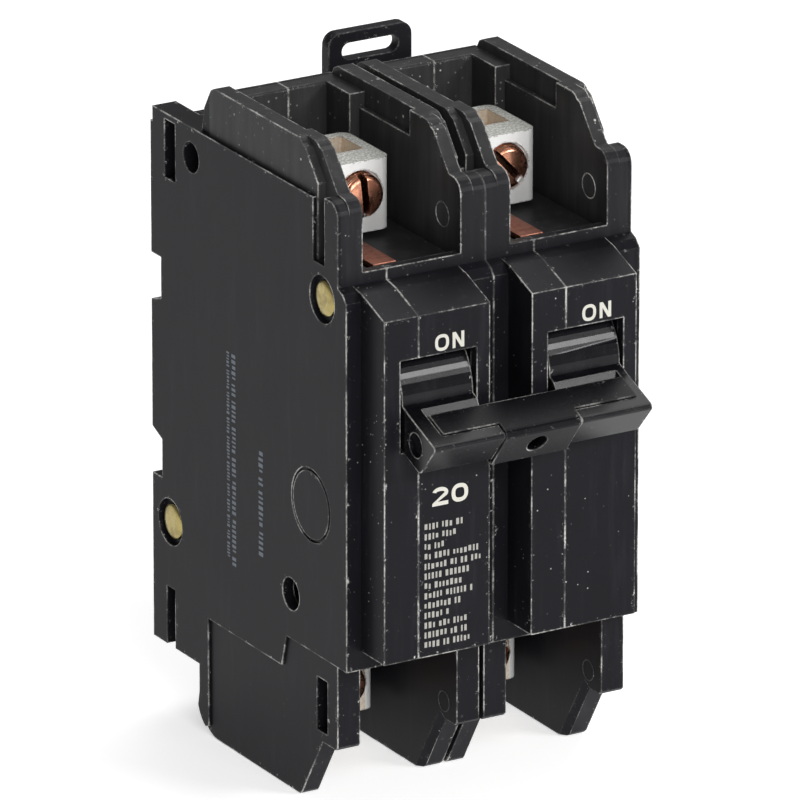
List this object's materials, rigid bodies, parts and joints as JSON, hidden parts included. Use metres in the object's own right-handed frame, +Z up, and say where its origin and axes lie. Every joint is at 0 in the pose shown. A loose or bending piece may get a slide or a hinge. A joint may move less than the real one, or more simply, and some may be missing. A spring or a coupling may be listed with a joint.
{
  "type": "gfci breaker",
  "caption": "Black rail-mount breaker with twin poles, a tied pair of toggle handles, box-lug terminals between barrier walls and a sprung rail latch.",
  "frame": {"origin": "middle of the rail seat: X = 0 midway between the two poles, Y = 0 where the rail's flanges bear, Z = 0 on the rail's centre line", "axes": "+X to the right seen from the front, +Y back towards the wall, +Z up towards the ON end; the handles face -Y"},
  "size_m": [0.0508, 0.0783, 0.1045],
  "materials": {
    "case_black": "satin black moulded thermoset, edges worn pale",
    "handle_black": "smooth black moulded plastic",
    "tie_black": "satin black moulded plastic",
    "latch_black": "satin black moulded plastic",
    "pin_steel": "plain ground pin",
    "contact_copper": "copper, lightly tarnished",
    "spring_steel": "drawn spring wire",
    "mechanism_steel": "zinc plated sheet steel",
    "trip_bar_plastic": "pale moulded plastic",
    "bimetal_strip": "rolled bimetal strip",
    "braid_copper": "woven bare copper wire",
    "strap_copper": "dull copper strap",
    "lug_aluminium": "extruded, bright with a grainy top",
    "screw_copper": "copper coloured plating",
    "card_fibre": "vulcanised fibre card",
    "rivet_brass": "bright yellow brass",
    "marking_ink": "cream pad print"
  },
  "bodies": {
    "case": {"left_cover": "case_black", "left_base": "case_black", "right_cover": "case_black", "right_base": "case_black", "case_rivets": "rivet_brass", "upper_lugs": "lug_aluminium", "lower_lugs": "lug_aluminium", "line_straps": "strap_copper", "load_straps": "strap_copper", "bimetals": "bimetal_strip", "magnet_yokes": "mechanism_steel", "braids": "braid_copper", "arc_plates": "mechanism_steel", "arc_cards": "card_fibre", "armature_pins": "pin_steel", "calibration_screws": "rivet_brass", "latch_spring": "spring_steel"},
    "handle": {"left_handle": "handle_black", "right_handle": "handle_black", "handle_tie": "tie_black", "arm_pins": "pin_steel"},
    "left_arm": {"left_contact_arm": "contact_copper", "left_main_spring": "spring_steel"},
    "right_arm": {"right_contact_arm": "contact_copper", "right_main_spring": "spring_steel"},
    "trip_bar": {"trip_bar": "trip_bar_plastic"},
    "left_cradle": {"left_cradle": "mechanism_steel"},
    "right_cradle": {"right_cradle": "mechanism_steel"},
    "left_armature": {"left_armature": "mechanism_steel"},
    "right_armature": {"right_armature": "mechanism_steel"},
    "upper_left_screw": {"upper_left_screw": "screw_copper"},
    "upper_right_screw": {"upper_right_screw": "screw_copper"},
    "lower_left_screw": {"lower_left_screw": "screw_copper"},
    "lower_right_screw": {"lower_right_screw": "screw_copper"},
    "rail_latch": {"rail_latch": "latch_black"}
  },
  "joints": [
    {"name": "handle_throw", "type": "hinge", "parent": "case", "child": "handle", "pos_m": [0, -0.0534, 0.0125], "axis": [-1, 0, 0], "range_deg": [0, 40]},
    {"name": "left_arm_swing", "type": "hinge", "parent": "handle", "child": "left_arm", "pos_m": [0, -0.0478, 0.01465], "axis": [1, 0, 0], "range_deg": [0, 73.5]},
    {"name": "right_arm_swing", "type": "hinge", "parent": "handle", "child": "right_arm", "pos_m": [0, -0.0478, 0.01465], "axis": [1, 0, 0], "range_deg": [0, 73.5]},
    {"name": "trip_bar_turn", "type": "hinge", "parent": "case", "child": "trip_bar", "pos_m": [0, -0.0455, -0.0076], "axis": [-1, 0, 0], "range_deg": [0, 10.5], "stiffness_Nm_per_rad": 0.02, "springref_deg": -11.46},
    {"name": "left_armature_turn", "type": "hinge", "parent": "case", "child": "left_armature", "pos_m": [0, -0.0412, 0.001], "axis": [-1, 0, 0], "range_deg": [0, 3]},
    {"name": "right_armature_turn", "type": "hinge", "parent": "case", "child": "right_armature", "pos_m": [0, -0.0412, 0.001], "axis": [-1, 0, 0], "range_deg": [0, 3]},
    {"name": "left_cradle_turn", "type": "hinge", "parent": "case", "child": "left_cradle", "pos_m": [0, -0.0145, -0.014], "axis": [-1, 0, 0], "range_deg": [0, 25]},
    {"name": "right_cradle_turn", "type": "hinge", "parent": "case", "child": "right_cradle", "pos_m": [0, -0.0145, -0.014], "axis": [-1, 0, 0], "range_deg": [0, 25]},
    {"name": "upper_left_screw_feed", "type": "slide", "parent": "case", "child": "upper_left_screw", "axis": [0, 1, 0], "range_m": [0, 0.004]},
    {"name": "upper_right_screw_feed", "type": "slide", "parent": "case", "child": "upper_right_screw", "axis": [0, 1, 0], "range_m": [0, 0.004]},
    {"name": "lower_left_screw_feed", "type": "slide", "parent": "case", "child": "lower_left_screw", "axis": [0, 1, 0], "range_m": [0, 0.004]},
    {"name": "lower_right_screw_feed", "type": "slide", "parent": "case", "child": "lower_right_screw", "axis": [0, 1, 0], "range_m": [0, 0.004]},
    {"name": "rail_latch_slide", "type": "slide", "parent": "case", "child": "rail_latch", "axis": [0, 0, 1], "range_m": [0, 0.004], "stiffness_N_per_m": 400, "springref_m": -0.006, "deforming": ["latch_spring"]}
  ],
  "couplings": [
    {"joint": "left_arm_swing", "follows": "handle_throw", "ratio": 1.8375},
    {"joint": "right_arm_swing", "follows": "handle_throw", "ratio": 1.8375},
    {"joint": "left_armature_turn", "follows": "trip_bar_turn", "ratio": 0.2857},
    {"joint": "left_cradle_turn", "follows": "trip_bar_turn", "ratio": 2.38},
    {"joint": "right_armature_turn", "follows": "trip_bar_turn", "ratio": 0.2857},
    {"joint": "right_cradle_turn", "follows": "trip_bar_turn", "ratio": 2.38}
  ]
}
